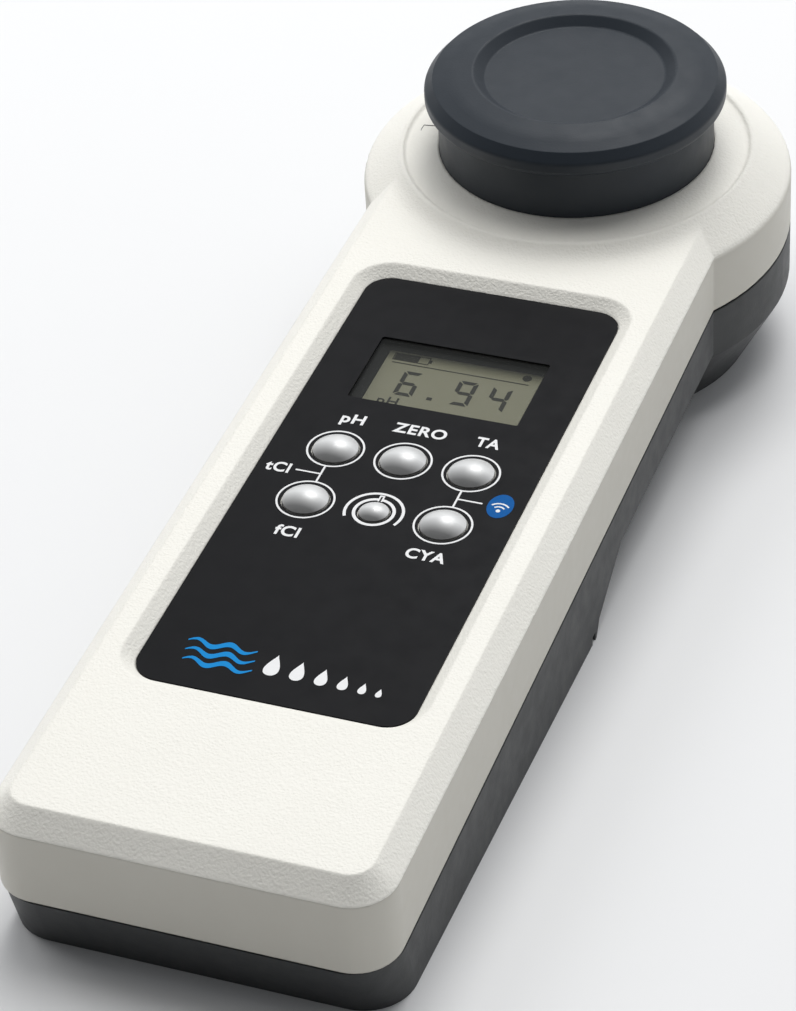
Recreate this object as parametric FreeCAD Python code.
import FreeCAD, Part
import math
import os

# Hand-held water tester (photometer), all sizes in millimetres.
#
# Two frames are used. The instrument frame has z = 0 on the face of the front overlay and y along
# the grip from tail to head. The bench frame is the exported one: the tester rests on its battery
# hump and on the foot of its head, so its face leans a little towards the tail end.

# ---- overall form, instrument frame ----
HALF_W = 25.8            # half the width of the grip
TAIL_Y = -29.2           # tail face of the upper shell
TAIL_R = 5.8             # plan radius of the two tail corners
HEAD_Y = 124.5           # centre of the round head
HEAD_R = 31.2            # radius of the round head
HEAD_ROUND = 1.8         # round where the cone of the head meets its wall
TOP_Z = 1.3              # flat top face around the overlay
EDGE = 2.7               # chamfer round the top face
SHOULDER_Z = TOP_Z - EDGE
WALL = 2.0               # wall of both shells
CEILING_Z = -2.1         # underside of the top wall of the grip
HEAD_CEILING_Z = -3.6    # underside of the top wall of the head

# ---- parting plane and underside, instrument frame ----
PART_Z = -12.1           # parting plane at the tail
PART_SLOPE = 0.0135      # it rises towards the head
SEAM = 0.35              # gap between the shells, filled by the gasket
REST_Z = -20.8           # resting plane at the tail
REST_SLOPE = 0.056       # it falls towards the head
TAIL_RAKE = 2.4          # the lower shell's tail face leans in by this much ...
TAIL_DROP = 8.5          # ... over this height
HUMP_Y = 50.8            # head-side end of the battery hump
HUMP_LIP = (52.2, -23.0)
HUMP_FOOT = (62.4, -17.6)
WAIST_Z = -18.1          # underside between hump and head
BAND_Z = -18.5           # foot of the straight band round the head
CONE = 0.53              # the head narrows by this much per millimetre below the band
WAIST_FILLET = 3.5       # radius where the flat top runs up into the cone of the head

# ---- head top: rim, dish and well ----
RIM_R = 26.1             # foot of the crest, on its outside
RIM_Z = 2.2
CREST_R = (25.75, 25.3)  # flat of the narrow crest round the dish
CREST_Z = 2.5
DISH_FOOT = (24.9, 2.05)
DISH_R = 20.06           # inner edge of the dish, just outside the cap
DISH_Z = 3.05
GROOVE_Z = 0.4           # floor of the groove that takes the skirt of the cap
TUBE_R = 17.6            # well tube that the cap slides over
TUBE_BORE = 15.6
TUBE_TOP = 7.0
LEDGE_Z = -1.8           # ledge that carries the sample cuvette
LEDGE_R = 13.4

# ---- cap ----
CAP_NECK_R = 19.98
CAP_RIM_R = 21.75
CAP_RIM_Z = (11.2, 12.95)    # lower and upper corner of the rim
CAP_THROAT_Z = 10.45         # where the neck meets the rim
CAP_FACE_R = 20.5            # sharp fold at the edge of the face
CAP_TOP = 14.32
CAP_DOME = (17.8, 15.05)
CAP_CROWN = 15.42            # inner edge of the domed face
CAP_DISC_OUT = 14.6          # slope from the face down to the sunk disc
CAP_DISC_IN = 13.0
CAP_DISC_Z = 14.22
CAP_BORE = TUBE_R + 0.08
CAP_CEILING = 12.6
CAP_STEP_R = 15.2        # inner edge of the step that carries the cap seal
CAP_STEP_Z = 8.2

# ---- front panel ----
PANEL_HALF_W = 18.4
PANEL_LEN = 88.6
PANEL_R = 3.7
PANEL_T = 0.3
BEVEL = 1.75             # sloped wall round the overlay
WINDOW = (12.1, 61.0, 75.1)   # half width, tail side, head side
WINDOW_FOOT = 11.05           # half width at the display glass
LENS_EDGE = 1.0
LENS_T = 0.8
KEY_PITCH_X = 9.48
KEY_ROW_HEAD = 49.6
KEY_ROW_TAIL = 38.45
KEY_R = 3.05
POWER_R = 1.97
KEY_CLEAR = 0.08

# ---- board, cells and cover ----
BOARD_TOP = -4.6
BOARD_T = 1.6
BOARD_BOTTOM = BOARD_TOP - BOARD_T
BOARD_HALF_W = 16.2
BOARD_Y = (29.8, 92.0)
CELL_R = 5.25
CELL_LEN = 44.5
CELL_PITCH = 11.6
COVER_HALF_W = 23.9
COVER_Y = (-18.0, 48.5)      # bench frame, before the final shift along y
COVER_T = 2.0
COVER_GASKET = 0.4
BAY_HALF_W = 17.6
BAY_Y = (-12.0, 38.5)
BAY_TOP = 13.3
BAY_WALL = 1.6
CELL_Z = COVER_T + 0.35 + CELL_R
CELL_BACK = BAY_Y[1] - 0.5   # contact face of the plates at the head end
CELL_FRONT = BAY_Y[0] + 0.5  # contact face of the plates at the tail end
NUB_R = 1.9
NUB_LEN = 0.8
PLATE_T = 0.3
LABEL = (13.0, -2.0, 26.0)   # half width, tail side, head side

# ---- screws: places are (x, y), the last value of a housing screw is its seat ----
HOUSING_SCREWS = [(20.0, -22.6, -17.4), (20.2, 57.5, -16.4), (14.8, HEAD_Y + 14.8, -19.5)]
HOUSING_SHANK = 1.25
HOUSING_HEAD_R = 2.3
HOUSING_TIP = -5.6
BOARD_SCREWS = [(13.2, 33.0), (13.0, 88.4)]
BOARD_SHANK = 0.9
BOARD_TIP = -2.6
OPTICS_SCREW_X = 18.0
OPTICS_SHANK = 1.0
OPTICS_TIP = -5.0
COVER_SCREWS = [(-21.4, -15.4), (21.4, -15.4), (-21.4, 45.9), (21.4, 45.9)]
COVER_SHANK = 1.0
COVER_HEAD_R = 2.1
COVER_HEAD_Z = 1.3
INSERT_R = 1.9
INSERT_TOP = 6.6

# ---- keys and display under the panel ----
KEY_DOME = 1.05
KEY_STEP = 0.12
FLANGE_T = 0.75
STEM_END = -3.75
LCD_Y = (60.6, 75.6)
LCD_HALF_W = 12.5
LCD_TOP = CEILING_Z - 0.05
LCD_T = 1.8

# ---- optics in the head ----
OPTICS_R = 22.5
OPTICS_TOP = -8.0
OPTICS_BOTTOM = -20.0
CUVETTE_R = 13.2
CUVETTE_BORE = 12.0
CUVETTE_FLOOR = -24.2
FLANGE_R = 15.5
SEAL_T = 0.4
BOARD_Y_TAIL = HEAD_Y - 21.7
BOARD_Y_HEAD = HEAD_Y + 21.7
LED_R = 2.45
LED_X = (-6.5, 0.0, 6.5)
LED_Z = -14.0
FAR = 400.0

LEAN = math.degrees(math.atan(REST_SLOPE))
COS = math.cos(math.radians(LEAN))
SIN = math.sin(math.radians(LEAN))
LIFT = -(TAIL_Y * SIN + REST_Z * COS)
FRONT_END = TAIL_Y * COS - SHOULDER_Z * SIN
HEAD_END = (HEAD_Y + HEAD_R) * COS - BAND_Z * SIN
SHIFT = -(FRONT_END + HEAD_END) / 2


def vec(x, y, z):
    return FreeCAD.Vector(x, y, z)


X_AXIS = vec(1, 0, 0)
Y_AXIS = vec(0, 1, 0)
Z_AXIS = vec(0, 0, 1)


# ---------------------------------------------------------------- shape helpers
def box(x0, x1, y0, y1, z0, z1):
    return Part.makeBox(x1 - x0, y1 - y0, z1 - z0, vec(x0, y0, z0))


def rod(radius, x, y, z0, z1):
    return Part.makeCylinder(radius, z1 - z0, vec(x, y, z0))


def rod_y(radius, x, z, y0, y1):
    return Part.makeCylinder(radius, y1 - y0, vec(x, y0, z), Y_AXIS)


def fuse(shapes):
    first = shapes[0]
    return first.fuse(shapes[1:]).removeSplitter() if len(shapes) > 1 else first


def cut(shape, tools):
    for tool in tools:
        shape = shape.cut(tool)
    return shape


def group(shapes):
    return Part.makeCompound(shapes)


def rounded_face(x0, x1, y0, y1, r, z):
    """Rectangle with four rounded corners, as a face."""
    k = r * math.sqrt(0.5)
    arcs = [
        ((x1 - r, y0), (x1 - r + k, y0 + r - k), (x1, y0 + r)),
        ((x1, y1 - r), (x1 - r + k, y1 - r + k), (x1 - r, y1)),
        ((x0 + r, y1), (x0 + r - k, y1 - r + k), (x0, y1 - r)),
        ((x0, y0 + r), (x0 + r - k, y0 + r - k), (x0 + r, y0)),
    ]
    edges = []
    for i, (start, middle, end) in enumerate(arcs):
        edges.append(Part.Arc(vec(*start, z), vec(*middle, z), vec(*end, z)).toShape())
        follow = arcs[(i + 1) % 4][0]
        edges.append(Part.makeLine(vec(*end, z), vec(*follow, z)))
    return Part.Face(Part.Wire(edges))


def rounded_plate(x0, x1, y0, y1, r, z0, z1):
    return rounded_face(x0, x1, y0, y1, r, z0).extrude(vec(0, 0, z1 - z0))


def rounded_corner(before, corner, after):
    """Start, middle and end of the round on a (radius, z, round) corner of a profile."""
    place = vec(corner[0], 0, corner[1])
    to_before = (vec(before[0], 0, before[1]) - place).normalize()
    to_after = (vec(after[0], 0, after[1]) - place).normalize()
    half = to_before.getAngle(to_after) / 2
    reach = corner[2] / math.tan(half)
    inwards = (to_before + to_after).normalize()
    middle = place + inwards * (corner[2] / math.sin(half) - corner[2])
    return [place + to_before * reach, middle, place + to_after * reach]


def revolved(points, y=0.0):
    """Solid of revolution about a vertical axis from (radius, z) or (radius, z, round) corners."""
    corners = []
    for i, point in enumerate(points):
        if len(point) == 3:
            corners.append(rounded_corner(points[i - 1], point, points[(i + 1) % len(points)]))
        else:
            corners.append([vec(point[0], 0, point[1])])
    edges = []
    for corner, follow in zip(corners, corners[1:] + corners[:1]):
        if len(corner) == 3:
            edges.append(Part.Arc(*corner).toShape())
        edges.append(Part.makeLine(corner[-1], follow[0]))
    solid = Part.Face(Part.Wire(edges)).revolve(vec(0, 0, 0), Z_AXIS, 360)
    solid.translate(vec(0, y, 0))
    return solid


def side_profile(points, half_w):
    """Prism across the width from (y, z) points."""
    face = Part.Face(Part.makePolygon([vec(-half_w, y, z) for y, z in points + points[:1]]))
    return face.extrude(vec(2 * half_w, 0, 0))


def below_plane(z_at_tail, slope):
    """Everything under the sloping plane z_at_tail + slope * (y - TAIL_Y)."""
    y0, y1 = -FAR, FAR
    z0 = z_at_tail + slope * (y0 - TAIL_Y)
    z1 = z_at_tail + slope * (y1 - TAIL_Y)
    return side_profile([(y0, z0), (y1, z1), (y1, -FAR), (y0, -FAR)], FAR)


def rest_z(y):
    return REST_Z - REST_SLOPE * (y - TAIL_Y)


def part_z(y):
    return PART_Z + PART_SLOPE * (y - TAIL_Y)


# ---------------------------------------------------------------- frames
def stand(shape):
    """Instrument frame to bench frame."""
    shape = shape.copy()
    shape.rotate(vec(0, 0, 0), X_AXIS, LEAN)
    shape.translate(vec(0, SHIFT, LIFT))
    return shape


def slide(shape):
    """Bench frame before the shift along y to the exported bench frame."""
    shape = shape.copy()
    shape.translate(vec(0, SHIFT, 0))
    return shape


def unstand(shape):
    """Bench frame before the shift to the instrument frame."""
    shape = shape.copy()
    shape.translate(vec(0, 0, -LIFT))
    shape.rotate(vec(0, 0, 0), X_AXIS, -LEAN)
    return shape


# ---------------------------------------------------------------- upper shell
def keys():
    """Name, centre and radius of every key."""
    return [
        ("key_top_left", -KEY_PITCH_X, KEY_ROW_HEAD, KEY_R),
        ("key_top_middle", 0.0, KEY_ROW_HEAD, KEY_R),
        ("key_top_right", KEY_PITCH_X, KEY_ROW_HEAD, KEY_R),
        ("key_bottom_left", -KEY_PITCH_X, KEY_ROW_TAIL, KEY_R),
        ("key_power", 0.0, KEY_ROW_TAIL, POWER_R),
        ("key_bottom_right", KEY_PITCH_X, KEY_ROW_TAIL, KEY_R),
    ]


def head_ring():
    """Head of the upper shell: cone, crest, dish, cap groove, well tube and ledge."""
    crest_out, crest_in = CREST_R
    inner_r = HEAD_R - WALL
    return revolved([
        (HEAD_R, -FAR / 8), (HEAD_R, SHOULDER_Z, HEAD_ROUND), (RIM_R, RIM_Z),
        (crest_out, CREST_Z, 0.15), (crest_in, CREST_Z, 0.15), (*DISH_FOOT, 0.5),
        (DISH_R, DISH_Z), (DISH_R, GROOVE_Z), (TUBE_R, GROOVE_Z), (TUBE_R, TUBE_TOP),
        (TUBE_BORE, TUBE_TOP), (TUBE_BORE, LEDGE_Z), (LEDGE_R, LEDGE_Z),
        (LEDGE_R, HEAD_CEILING_Z), (inner_r, HEAD_CEILING_Z), (inner_r, -FAR / 8)], HEAD_Y)


def grip_top():
    """Grip of the upper shell as a full block with its chamfered top edge."""
    block = rounded_plate(-HALF_W, HALF_W, TAIL_Y, HEAD_Y, TAIL_R, -FAR / 8, TOP_Z)
    top_edges = [e for e in block.Edges if abs(e.BoundBox.ZMin - TOP_Z) < 1e-6]
    block = block.makeChamfer(EDGE, top_edges)
    inner = rod(RIM_R + 1.0, 0, HEAD_Y, HEAD_CEILING_Z, FAR / 8)
    hollow = rod(HEAD_R - WALL, 0, HEAD_Y, -FAR / 4, HEAD_CEILING_Z)
    return cut(block, [inner, hollow])


def panel_recess():
    """Pocket of the overlay with its bevelled surround."""
    w, n, r = PANEL_HALF_W + 0.12, PANEL_LEN + 0.12, PANEL_R + 0.12
    pocket = rounded_plate(-w, w, -0.12, n, r, -PANEL_T, TOP_Z)
    low = rounded_face(-w, w, -0.12, n, r, -0.12)
    high = rounded_face(-w - BEVEL, w + BEVEL, -0.12 - BEVEL, n + BEVEL, r + BEVEL, TOP_Z + 0.01)
    bevel = Part.makeLoft([low.OuterWire, high.OuterWire], True, True)
    return [pocket, bevel]


def window_cut():
    """Opening of the shell for the lens and, under it, the collar of the display frame."""
    half, y0, y1 = WINDOW
    edge = LENS_EDGE + 0.05
    return [box(-half - edge, half + edge, y0 - edge, y1 + edge, CEILING_Z - 1, TOP_Z)]


def make_upper_shell():
    shell = grip_top().fuse(head_ring())
    shell = shell.fuse(waist_fillet())
    inset = HALF_W - WALL
    hollow = rounded_plate(-inset, inset, TAIL_Y + WALL, 92.0, TAIL_R - WALL, -FAR / 8, CEILING_Z)
    doorway = box(-inset, inset, 85.0, 108.0, -FAR / 8, HEAD_CEILING_Z)
    shell = cut(shell, [hollow, doorway])
    for x, y, seat in HOUSING_SCREWS:
        for side in (-1, 1):
            shell = shell.fuse(rod(3.2, side * x, y, -FAR / 8, CEILING_Z + 0.1))
    for x, y in BOARD_SCREWS:
        for side in (-1, 1):
            shell = shell.fuse(rod(2.4, side * x, y, BOARD_TOP, CEILING_Z + 0.1))
    for side in (-1, 1):
        shell = shell.fuse(rod(3.0, side * OPTICS_SCREW_X, HEAD_Y, OPTICS_TOP, HEAD_CEILING_Z + 0.1))
    shell = shell.cut(below_plane(PART_Z, PART_SLOPE))
    tools = panel_recess() + window_cut()
    for name, x, y, r in keys():
        tools.append(rod(r + KEY_CLEAR, x, y, CEILING_Z - 1, TOP_Z))
    for x, y, seat in HOUSING_SCREWS:
        for side in (-1, 1):
            tools.append(rod(HOUSING_SHANK + 0.05, side * x, y, -FAR / 8, HOUSING_TIP + 0.3))
    for x, y in BOARD_SCREWS:
        for side in (-1, 1):
            tools.append(rod(BOARD_SHANK + 0.05, side * x, y, BOARD_TOP - 1, BOARD_TIP + 0.2))
    for side in (-1, 1):
        tools.append(rod(OPTICS_SHANK + 0.05, side * OPTICS_SCREW_X, HEAD_Y, OPTICS_TOP - 1,
                         OPTICS_TIP + 0.2))
    return cut(shell, tools).removeSplitter()


def waist_fillet():
    """Soft fillet where the flat top of the grip runs up into the cone of the head."""
    tilt = math.atan2(RIM_Z - SHOULDER_Z, HEAD_R - RIM_R)
    foot = RIM_R + (RIM_Z - TOP_Z) / math.tan(tilt)
    reach = WAIST_FILLET * math.tan(tilt / 2)
    centre = (foot + reach, TOP_Z + WAIST_FILLET)
    start = (foot + reach, TOP_Z)
    end = (foot - reach * math.cos(tilt), TOP_Z + reach * math.sin(tilt))
    middle = (centre[0] - WAIST_FILLET * math.sin(tilt / 2),
              centre[1] - WAIST_FILLET * math.cos(tilt / 2))
    arc = Part.Arc(vec(start[0], 0, start[1]), vec(middle[0], 0, middle[1]), vec(end[0], 0, end[1]))
    low = TOP_Z - 1.0
    corners = [end, (end[0], low), (start[0], low), start]
    edges = [Part.makeLine(vec(a[0], 0, a[1]), vec(b[0], 0, b[1])) for a, b in zip(corners, corners[1:])]
    ring = Part.Face(Part.Wire([arc.toShape()] + edges)).revolve(vec(0, 0, 0), Z_AXIS, 360)
    ring.translate(vec(0, HEAD_Y, 0))
    crest = HALF_W - EDGE + TOP_Z
    roof = [vec(-crest, 0, 0), vec(crest, 0, 0), vec(0, 0, crest), vec(-crest, 0, 0)]
    prism = Part.Face(Part.makePolygon(roof)).extrude(vec(0, 20.0, 0))
    prism.translate(vec(0, PANEL_LEN + 4.0, 0))
    return ring.common(prism)


def make_gasket():
    """Seal between the shells: a thin band that follows the outline, just inside the edge."""
    outer = outline_slab(0.35)
    inner = outline_slab(WALL - 0.25)
    band = outer.cut(inner)
    above = below_plane(PART_Z, PART_SLOPE)
    under = below_plane(PART_Z - SEAM, PART_SLOPE)
    return band.common(above).cut(under).removeSplitter()


def outline_slab(inset):
    grip = rounded_plate(-HALF_W + inset, HALF_W - inset, TAIL_Y + inset, HEAD_Y,
                         TAIL_R - inset, -20.0, -5.0)
    return grip.fuse(rod(HEAD_R - inset, 0, HEAD_Y, -20.0, -5.0))


# ---------------------------------------------------------------- lower shell
def raked_grip(inset, z_top, z_bottom):
    """Grip outline extruded downwards along the rake of the tail face."""
    rake = TAIL_RAKE / TAIL_DROP
    shift = (PART_Z - z_top) * rake
    face = rounded_face(-HALF_W + inset, HALF_W - inset, TAIL_Y + inset + shift, HEAD_Y + shift,
                        TAIL_R - inset + 0.6, z_top)
    drop = z_top - z_bottom
    return face.extrude(vec(0, drop * rake, -drop))


def underside(floor):
    """Side view of the grip, raised by the floor thickness."""
    lip_y, lip_z = HUMP_LIP
    foot_y, foot_z = HUMP_FOOT
    return side_profile([
        (TAIL_Y - 10, 0), (TAIL_Y - 10, rest_z(TAIL_Y - 10) + floor),
        (HUMP_Y - 0.6 * floor, rest_z(HUMP_Y) + floor),
        (lip_y - 0.8 * floor, lip_z + 0.8 * floor), (foot_y - 0.4 * floor, foot_z + floor),
        (HEAD_Y, WAIST_Z + floor), (HEAD_Y, 0)], FAR)


def head_bowl(inset, floor):
    """Straight band and cone of the head, standing on the resting plane."""
    depth = 40.0
    bottom_r = HEAD_R - inset - CONE * (depth + BAND_Z)
    bowl = revolved([(0, 0), (HEAD_R - inset, 0), (HEAD_R - inset, BAND_Z + 0.3 * inset),
                     (bottom_r, -depth), (0, -depth)], HEAD_Y)
    return bowl.cut(below_plane(REST_Z + floor, -REST_SLOPE))


def bench_box(x0, x1, y0, y1, z0, z1):
    return unstand(box(x0, x1, y0, y1, z0, z1))


def make_lower_shell():
    grip = raked_grip(0.0, -5.0, -40.0).common(underside(0.0))
    shell = grip.fuse(head_bowl(0.0, 0.0))
    floor = WALL + 0.2
    hollow = raked_grip(WALL, -4.0, -40.0).common(underside(floor))
    hollow = hollow.fuse(head_bowl(WALL, floor))
    outer = shell.copy()
    shell = shell.cut(hollow)
    y0, y1 = COVER_Y
    ledge = bench_box(-HALF_W, HALF_W, y0 - 1.8, y1 + 1.6, 0, COVER_T + COVER_GASKET + 2.2)
    shell = shell.fuse(ledge.common(outer))
    bay_y0, bay_y1 = BAY_Y
    half = BAY_HALF_W + BAY_WALL
    shell = shell.fuse(bench_box(-half, half, bay_y0 - BAY_WALL, bay_y1 + BAY_WALL, 1.0,
                                 BAY_TOP + BAY_WALL))
    for x, y in COVER_SCREWS:
        shell = shell.fuse(unstand(rod(2.5, x, y, 1.0, INSERT_TOP + 0.8)).common(outer))
    for x, y, seat in HOUSING_SCREWS:
        for side in (-1, 1):
            shell = shell.fuse(rod(3.9, side * x, y, -40.0, 0.0).common(outer))
    shell = shell.common(below_plane(PART_Z - SEAM, PART_SLOPE).fuse(
        bench_box(-half, half, bay_y0 - BAY_WALL, bay_y1 + BAY_WALL, 0, BAY_TOP + BAY_WALL)))
    rebate = unstand(rounded_plate(-COVER_HALF_W, COVER_HALF_W, y0, y1, 3.0, -5.0,
                                   COVER_T + COVER_GASKET))
    tools = [rebate, bench_box(-BAY_HALF_W, BAY_HALF_W, bay_y0, bay_y1, -5.0, BAY_TOP)]
    for x, y in COVER_SCREWS:
        tools.append(unstand(rod(INSERT_R + 0.02, x, y, -5.0, INSERT_TOP)))
    for x, y, seat in HOUSING_SCREWS:
        for side in (-1, 1):
            tools.append(rod(HOUSING_SHANK + 0.25, side * x, y, -60.0, 0.0))
            tools.append(rod(HOUSING_HEAD_R + 0.2, side * x, y, -60.0, seat))
    for side in (-1, 1):
        edge = side * HALF_W
        tools.append(bench_box(min(edge, edge - side * 1.3), max(edge, edge - side * 1.3),
                               y1 + 1.9, y1 + 3.1, 0.0, 1.3))
        lead_x = side * (BAY_HALF_W - 2.2)
        tools.append(bench_box(lead_x - 1.0, lead_x + 1.0, bay_y1 - 0.5, bay_y1 + 3.0, 6.0, 8.0))
    return cut(shell, tools).removeSplitter()


def make_battery_cover():
    y0, y1 = COVER_Y
    gap = 0.12
    plate = rounded_plate(-COVER_HALF_W + gap, COVER_HALF_W - gap, y0 + gap, y1 - gap, 2.9, 0, COVER_T)
    low_edges = [e for e in plate.Edges if e.BoundBox.ZMax < 1e-6]
    plate = plate.makeChamfer(0.3, low_edges)
    tools = [rounded_plate(-LABEL[0] - 0.3, LABEL[0] + 0.3, LABEL[1] - 0.3, LABEL[2] + 0.3, 1.5,
                           -1.0, 0.3)]
    for x, y in COVER_SCREWS:
        tools.append(rod(COVER_SHANK + 0.2, x, y, -1.0, COVER_T + 1))
        tools.append(rod(COVER_HEAD_R + 0.2, x, y, -1.0, COVER_HEAD_Z))
    for i in range(3):
        y = y1 - 4.4 - 1.6 * i
        tools.append(box(-7.0, 7.0, y, y + 0.8, -1.0, 0.5))
    return cut(plate, tools)


def make_cover_gasket():
    half = BAY_HALF_W + 0.15
    y0, y1 = BAY_Y[0] - 0.15, BAY_Y[1] + 0.15
    wide = half + 1.4
    outer = rounded_plate(-wide, wide, y0 - 1.4, y1 + 1.4, 1.6, COVER_T, COVER_T + COVER_GASKET)
    inner = rounded_plate(-half, half, y0, y1, 0.6, 0, COVER_T + 2)
    return outer.cut(inner)


# ---------------------------------------------------------------- battery set, bench frame
def make_cell(x, nub_at_head):
    body_len = CELL_LEN - NUB_LEN
    if nub_at_head:
        y_end = CELL_BACK - 0.02
        body = rod_y(CELL_R, x, CELL_Z, y_end - CELL_LEN, y_end - NUB_LEN)
        nub = rod_y(NUB_R, x, CELL_Z, y_end - NUB_LEN, y_end)
    else:
        y_end = CELL_FRONT + 0.02
        body = rod_y(CELL_R, x, CELL_Z, y_end + NUB_LEN, y_end + CELL_LEN)
        nub = rod_y(NUB_R, x, CELL_Z, y_end, y_end + NUB_LEN)
    rims = [e for e in body.Edges if e.Curve.TypeId == "Part::GeomCircle"]
    return body.makeFillet(0.5, rims).fuse(nub)


def leaf(x, y_plate, y_cell):
    """Bent leaf spring from its plate to the flat end of a cell."""
    side = 1 if y_cell > y_plate else -1
    reach = abs(y_cell - y_plate) - 0.03
    t = 0.3
    z0, z1, z2 = CELL_Z - 3.4, CELL_Z + 0.2, CELL_Z + 3.2
    front = [(0, z0), (reach - t, z1), (0.9, z2)]
    back = [(0.9 + t, z2 + 0.1), (reach, z1), (t, z0 - 0.2), (0, z0 - 0.2)]
    pts = front + back
    face = Part.Face(Part.makePolygon([vec(x - 2.2, y_plate + side * y, z) for y, z in pts + pts[:1]]))
    return face.extrude(vec(4.4, 0, 0))


def contact_plate(x0, x1, y_face, towards):
    y_back = y_face - towards * PLATE_T
    return box(x0, x1, min(y_face, y_back), max(y_face, y_back), CELL_Z - 4.4, CELL_Z + 4.4)


def make_tail_contacts():
    """Tail end: one strip joins the left and middle cells, one plate serves the right cell."""
    strip = contact_plate(-CELL_PITCH - 4.2, 4.2, CELL_FRONT, 1)
    single = contact_plate(CELL_PITCH - 4.2, CELL_PITCH + 4.2, CELL_FRONT, 1)
    cell_end = CELL_BACK - 0.02 - CELL_LEN
    left = strip.fuse(leaf(-CELL_PITCH, CELL_FRONT, cell_end))
    right = single.fuse(leaf(CELL_PITCH, CELL_FRONT, cell_end))
    return group([left, right])


def make_head_contacts():
    """Head end: one plate serves the left cell, one strip joins the middle and right cells."""
    single = contact_plate(-CELL_PITCH - 4.2, -CELL_PITCH + 4.2, CELL_BACK, -1)
    strip = contact_plate(-4.2, CELL_PITCH + 4.2, CELL_BACK, -1)
    cell_end = CELL_FRONT + 0.02 + CELL_LEN
    return group([single, strip.fuse(leaf(0, CELL_BACK, cell_end))])


def make_cover_screws():
    shapes = []
    for x, y in COVER_SCREWS:
        head = rod(COVER_HEAD_R, x, y, 0.35, COVER_HEAD_Z)
        shank = rod(COVER_SHANK, x, y, COVER_HEAD_Z, INSERT_TOP - 0.4)
        shapes.append(cut(head.fuse(shank), cross_slot(x, y, 0.35, 0.55)))
    return group(shapes)


def cross_slot(x, y, z0, depth):
    return [box(x - 1.1, x + 1.1, y - 0.25, y + 0.25, z0 - 0.1, z0 + depth),
            box(x - 0.25, x + 0.25, y - 1.1, y + 1.1, z0 - 0.1, z0 + depth)]


def make_cover_inserts():
    rings = []
    for x, y in COVER_SCREWS:
        ring = rod(INSERT_R, x, y, COVER_T + COVER_GASKET + 0.1, INSERT_TOP - 0.05)
        rings.append(ring.cut(rod(COVER_SHANK + 0.05, x, y, 0, 10)))
    return group(rings)


# ---------------------------------------------------------------- front panel pieces
def make_overlay():
    sheet = rounded_plate(-PANEL_HALF_W, PANEL_HALF_W, 0, PANEL_LEN, PANEL_R, -PANEL_T, 0)
    half, y0, y1 = WINDOW
    tools = [rounded_plate(-half, half, y0, y1, 0.4, -1, 1)]
    for name, x, y, r in keys():
        tools.append(rod(r + 0.22, x, y, -1, 1))
    return cut(sheet, tools)


def make_window():
    half, y0, y1 = WINDOW
    e = LENS_EDGE
    return box(-half - e, half + e, y0 - e, y1 + e, -PANEL_T - LENS_T + 0.02, -PANEL_T - 0.02)


def make_key(x, y, r):
    """Domed key with a retaining flange under the shell and a plunger on the snap dome."""
    rise = KEY_DOME * r / KEY_R
    ball_r = (r * r + rise * rise) / (2 * rise)
    ball = Part.makeSphere(ball_r, vec(x, y, KEY_STEP + rise - ball_r))
    dome = ball.common(rod(r, x, y, KEY_STEP, KEY_STEP + rise + 1))
    body = rod(r, x, y, CEILING_Z - 0.3, KEY_STEP)
    flange = rod(r + 0.85, x, y, CEILING_Z - 0.05 - FLANGE_T, CEILING_Z - 0.05)
    stem = rod(1.5, x, y, STEM_END, CEILING_Z - 0.5)
    return fuse([body, dome, flange, stem])


def make_snap_domes():
    domes = []
    for name, x, y, r in keys():
        ball_r = (2.4 * 2.4 + 0.38 * 0.38) / (2 * 0.38)
        ball = Part.makeSphere(ball_r, vec(x, y, BOARD_TOP + 0.38 - ball_r))
        domes.append(ball.common(rod(2.4, x, y, BOARD_TOP, BOARD_TOP + 2)))
    return group(domes)


def make_lcd_frame():
    """Black frame round the glass, with a bevelled collar that fills the opening of the shell."""
    y0, y1 = LCD_Y
    frame = rounded_plate(-LCD_HALF_W - 1.8, LCD_HALF_W + 1.8, y0 - 2.2, y1 + 1.8, 1.0,
                          BOARD_TOP, LCD_TOP)
    g = 0.05
    frame = frame.cut(box(-LCD_HALF_W - g, LCD_HALF_W + g, y0 - g, y1 + g, -10, 0))
    half, w0, w1 = WINDOW
    top = -PANEL_T - LENS_T - 0.02
    collar = box(-half - LENS_EDGE, half + LENS_EDGE, w0 - LENS_EDGE, w1 + LENS_EDGE, LCD_TOP, top)
    face = Part.Face(Part.makePolygon([
        vec(-WINDOW_FOOT, w0, LCD_TOP - 0.01), vec(WINDOW_FOOT, w0, LCD_TOP - 0.01),
        vec(half, w0, top + 0.01), vec(-half, w0, top + 0.01),
        vec(-WINDOW_FOOT, w0, LCD_TOP - 0.01)]))
    collar = collar.cut(face.extrude(vec(0, w1 - w0, 0)))
    return fuse([frame, collar])


def make_lcd_glass():
    y0, y1 = LCD_Y
    return box(-LCD_HALF_W, LCD_HALF_W, y0, y1, LCD_TOP - LCD_T, LCD_TOP)


def make_lcd_reflector():
    return box(-LCD_HALF_W, LCD_HALF_W, LCD_Y[0] + 2.2, LCD_Y[1], BOARD_TOP + 0.1, LCD_TOP - LCD_T)


def make_zebra_strip():
    return box(-LCD_HALF_W + 1, LCD_HALF_W - 1, LCD_Y[0] + 0.2, LCD_Y[0] + 1.9, BOARD_TOP,
               LCD_TOP - LCD_T)


# ---------------------------------------------------------------- electronics
def make_main_board():
    y0, y1 = BOARD_Y
    board = rounded_plate(-BOARD_HALF_W, BOARD_HALF_W, y0, y1, 1.5, BOARD_BOTTOM, BOARD_TOP)
    holes = [rod(BOARD_SHANK + 0.2, side * x, y, -10, 0) for x, y in BOARD_SCREWS for side in (-1, 1)]
    return cut(board, holes)


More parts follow.
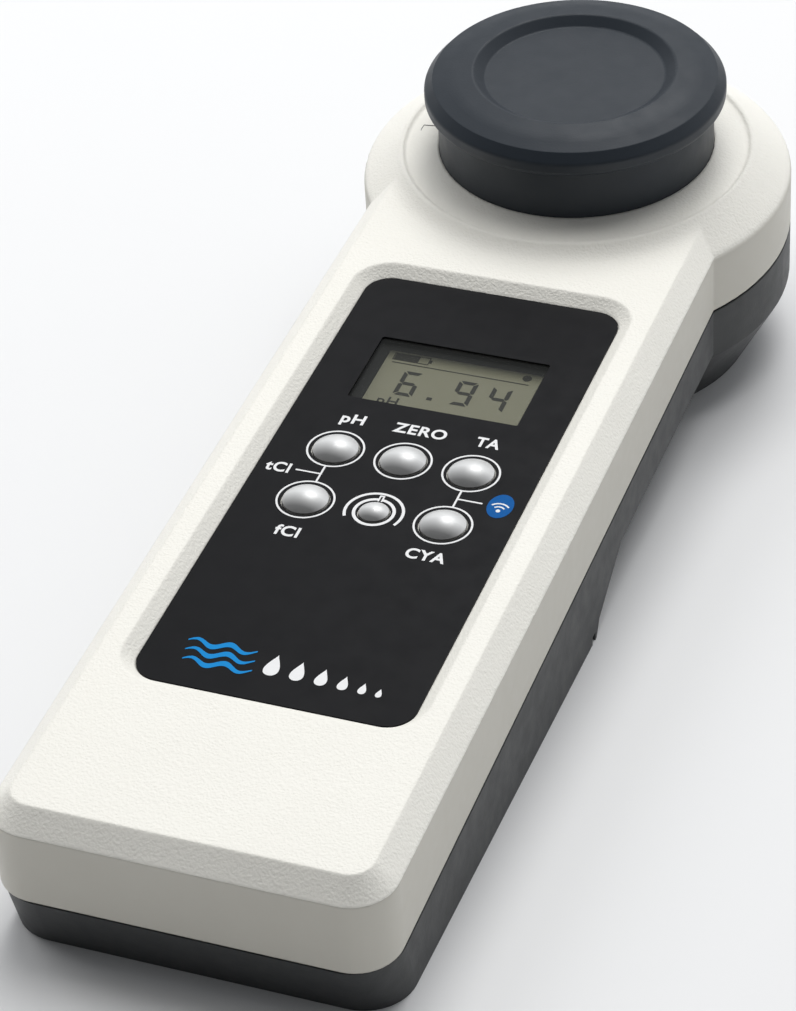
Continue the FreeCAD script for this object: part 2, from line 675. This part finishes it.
def pan_screws(places, shank_r, head_r, seat, head_h, tip):
    """Screws that point up, each with a cross slot in its head."""
    screws = []
    for x, y in places:
        screw = rod(head_r, x, y, seat - head_h, seat).fuse(rod(shank_r, x, y, seat, tip))
        screws.append(cut(screw, cross_slot(x, y, seat - head_h, 0.6)))
    return screws


def make_board_screws():
    places = [(side * x, y) for x, y in BOARD_SCREWS for side in (-1, 1)]
    return group(pan_screws(places, BOARD_SHANK, 1.8, BOARD_BOTTOM, 1.2, BOARD_TIP))


def make_housing_screws():
    screws = []
    for x, y, seat in HOUSING_SCREWS:
        places = [(side * x, y) for side in (-1, 1)]
        screws += pan_screws(places, HOUSING_SHANK, HOUSING_HEAD_R, seat, 1.7, HOUSING_TIP)
    return group(screws)


def make_processor():
    return rounded_plate(-12.0, -2.0, 62.0, 72.0, 0.3, BOARD_BOTTOM - 1.4, BOARD_BOTTOM)


def make_radio_module():
    base = box(2.0, 15.0, 67.5, 84.5, BOARD_BOTTOM - 0.8, BOARD_BOTTOM)
    can = rounded_plate(3.0, 14.0, 68.5, 78.5, 0.5, BOARD_BOTTOM - 2.4, BOARD_BOTTOM - 0.8)
    return base.fuse(can)


def make_small_parts():
    """Loose components under the board: crystal, inductor, capacitors and resistors."""
    z = BOARD_BOTTOM
    shapes = [rod(2.6, 8.0, 62.0, z - 2.2, z), box(-14.5, -9.5, 76.0, 78.4, z - 1.2, z)]
    for i in range(5):
        shapes.append(box(-8.0 + 3.2 * i, -6.4 + 3.2 * i, 56.0, 59.2, z - 1.1, z))
    for i in range(4):
        shapes.append(box(-13.0 + 2.6 * i, -11.8 + 2.6 * i, 82.0, 84.0, z - 0.6, z))
    return group(shapes)


def make_battery_lead_socket():
    return box(10.0, 15.0, 44.0, 50.0, BOARD_BOTTOM - 2.2, BOARD_BOTTOM)


# ---------------------------------------------------------------- optics in the head
def make_cuvette():
    top = LEDGE_Z + SEAL_T + 1.6
    return revolved([
        (0, CUVETTE_FLOOR - 1.6), (CUVETTE_R, CUVETTE_FLOOR - 1.6), (CUVETTE_R, LEDGE_Z + SEAL_T),
        (FLANGE_R, LEDGE_Z + SEAL_T), (FLANGE_R, top), (CUVETTE_BORE, top),
        (CUVETTE_BORE, CUVETTE_FLOOR), (0, CUVETTE_FLOOR)], HEAD_Y)


def make_cuvette_seal():
    ring = rod(FLANGE_R - 0.1, 0, HEAD_Y, LEDGE_Z, LEDGE_Z + SEAL_T)
    return ring.cut(rod(LEDGE_R + 0.15, 0, HEAD_Y, -5, 5))


def make_well_collar():
    """Black funnel that holds the cuvette down and guides the water in."""
    z0 = LEDGE_Z + SEAL_T + 1.6
    return revolved([
        (CUVETTE_BORE + 0.3, z0), (TUBE_BORE - 0.06, z0), (TUBE_BORE - 0.06, TUBE_TOP - 0.3),
        (TUBE_BORE - 0.7, TUBE_TOP - 0.3), (CUVETTE_BORE + 0.3, z0 + 3.2)], HEAD_Y)


def make_optics_block():
    block = rod(OPTICS_R, 0, HEAD_Y, OPTICS_BOTTOM, OPTICS_TOP)
    tools = [
        rod(CUVETTE_R + 0.15, 0, HEAD_Y, -30, 0),
        box(-FAR, FAR, -FAR, BOARD_Y_TAIL, -40, 0),
        box(-FAR, FAR, BOARD_Y_HEAD, FAR, -40, 0),
        rod_y(LED_R + 0.08, 0, LED_Z, HEAD_Y, BOARD_Y_HEAD + 1),
    ]
    head_x, head_y, seat = HOUSING_SCREWS[-1]
    for side in (-1, 1):
        tools.append(rod(4.0, side * head_x, head_y, -30, 0))
    for x in LED_X:
        tools.append(rod_y(LED_R + 0.08, x, LED_Z, BOARD_Y_TAIL - 1, HEAD_Y))
    for side in (-1, 1):
        tools.append(rod(OPTICS_SHANK + 0.15, side * OPTICS_SCREW_X, HEAD_Y, -30, 0))
    return cut(block, tools)


def make_led(x):
    body = rod_y(LED_R, x, LED_Z, BOARD_Y_TAIL, BOARD_Y_TAIL + 5.4)
    tip = Part.makeSphere(LED_R, vec(x, BOARD_Y_TAIL + 5.4, LED_Z))
    return body.fuse(tip).removeSplitter()


def make_photodiode():
    return rod_y(LED_R, 0, LED_Z, BOARD_Y_HEAD - 6.0, BOARD_Y_HEAD)


def make_led_board():
    return box(-11.0, 11.0, BOARD_Y_TAIL - 1.2, BOARD_Y_TAIL, OPTICS_BOTTOM + 0.5, OPTICS_TOP + 1.2)


def make_detector_board():
    return box(-7.5, 7.5, BOARD_Y_HEAD, BOARD_Y_HEAD + 1.2, OPTICS_BOTTOM + 0.5, OPTICS_TOP)


def make_optics_screws():
    places = [(side * OPTICS_SCREW_X, HEAD_Y) for side in (-1, 1)]
    return group(pan_screws(places, OPTICS_SHANK, 2.2, OPTICS_BOTTOM, 1.6, OPTICS_TIP))


def make_optics_flex():
    """Flat flexible lead from the main board to the LED board."""
    z = BOARD_BOTTOM - 0.02
    return box(-6.0, 6.0, BOARD_Y[1] - 4.0, BOARD_Y_TAIL - 1.22, z - 0.25, z)


# ---------------------------------------------------------------- cap
def make_cap():
    """Light shield cap: straight skirt, wide rim, domed face with a sunk disc."""
    skirt_z = GROOVE_Z + 0.02
    rim_low, rim_high = CAP_RIM_Z
    return revolved([
        (0, CAP_CEILING), (CAP_STEP_R, CAP_CEILING), (CAP_STEP_R, CAP_STEP_Z), (CAP_BORE, CAP_STEP_Z),
        (CAP_BORE, skirt_z), (CAP_NECK_R, skirt_z), (CAP_NECK_R, CAP_THROAT_Z, 0.3),
        (CAP_RIM_R, rim_low, 0.8), (CAP_RIM_R, rim_high, 0.8), (CAP_FACE_R, CAP_TOP, 0.15),
        (*CAP_DOME, 10.0), (CAP_DISC_OUT, CAP_CROWN, 0.6), (CAP_DISC_IN, CAP_DISC_Z, 0.5),
        (0, CAP_DISC_Z)], HEAD_Y)


def make_cap_seal():
    """Soft ring under the step in the cap that closes on the well tube."""
    ring = rod(CAP_BORE, 0, HEAD_Y, TUBE_TOP + 0.03, CAP_STEP_Z)
    return ring.cut(rod(CAP_STEP_R, 0, HEAD_Y, 0, 20))


def make_rating_label():
    return rounded_plate(-LABEL[0], LABEL[0], LABEL[1], LABEL[2], 1.2, 0.1, 0.3)


# ---------------------------------------------------------------- write the pieces
def main():
    instrument = {
        "upper_shell": make_upper_shell(),
        "lower_shell": make_lower_shell(),
        "shell_gasket": make_gasket(),
        "front_overlay": make_overlay(),
        "display_window": make_window(),
        "lcd_frame": make_lcd_frame(),
        "lcd_glass": make_lcd_glass(),
        "lcd_reflector": make_lcd_reflector(),
        "zebra_strip": make_zebra_strip(),
        "snap_domes": make_snap_domes(),
        "main_board": make_main_board(),
        "board_screws": make_board_screws(),
        "processor": make_processor(),
        "radio_module": make_radio_module(),
        "small_components": make_small_parts(),
        "battery_lead_socket": make_battery_lead_socket(),
        "housing_screws": make_housing_screws(),
        "sample_cuvette": make_cuvette(),
        "cuvette_seal": make_cuvette_seal(),
        "well_collar": make_well_collar(),
        "optics_block": make_optics_block(),
        "led_board": make_led_board(),
        "detector_board": make_detector_board(),
        "photodiode": make_photodiode(),
        "optics_screws": make_optics_screws(),
        "optics_flex": make_optics_flex(),
        "light_shield_cap": make_cap(),
        "cap_seal": make_cap_seal(),
    }
    for name, x in zip(("led_green", "led_amber", "led_red"), LED_X):
        instrument[name] = make_led(x)
    for name, x, y, r in keys():
        instrument[name] = make_key(x, y, r)
    bench = {
        "battery_cover": make_battery_cover(),
        "cover_gasket": make_cover_gasket(),
        "cover_screws": make_cover_screws(),
        "cover_inserts": make_cover_inserts(),
        "cell_left": make_cell(-CELL_PITCH, True),
        "cell_middle": make_cell(0.0, False),
        "cell_right": make_cell(CELL_PITCH, True),
        "tail_contacts": make_tail_contacts(),
        "head_contacts": make_head_contacts(),
        "rating_label": make_rating_label(),
    }
    os.makedirs("parts", exist_ok=True)
    for name, shape in instrument.items():
        stand(shape).exportStep("parts/" + name + ".step")
    for name, shape in bench.items():
        slide(shape).exportStep("parts/" + name + ".step")


main()
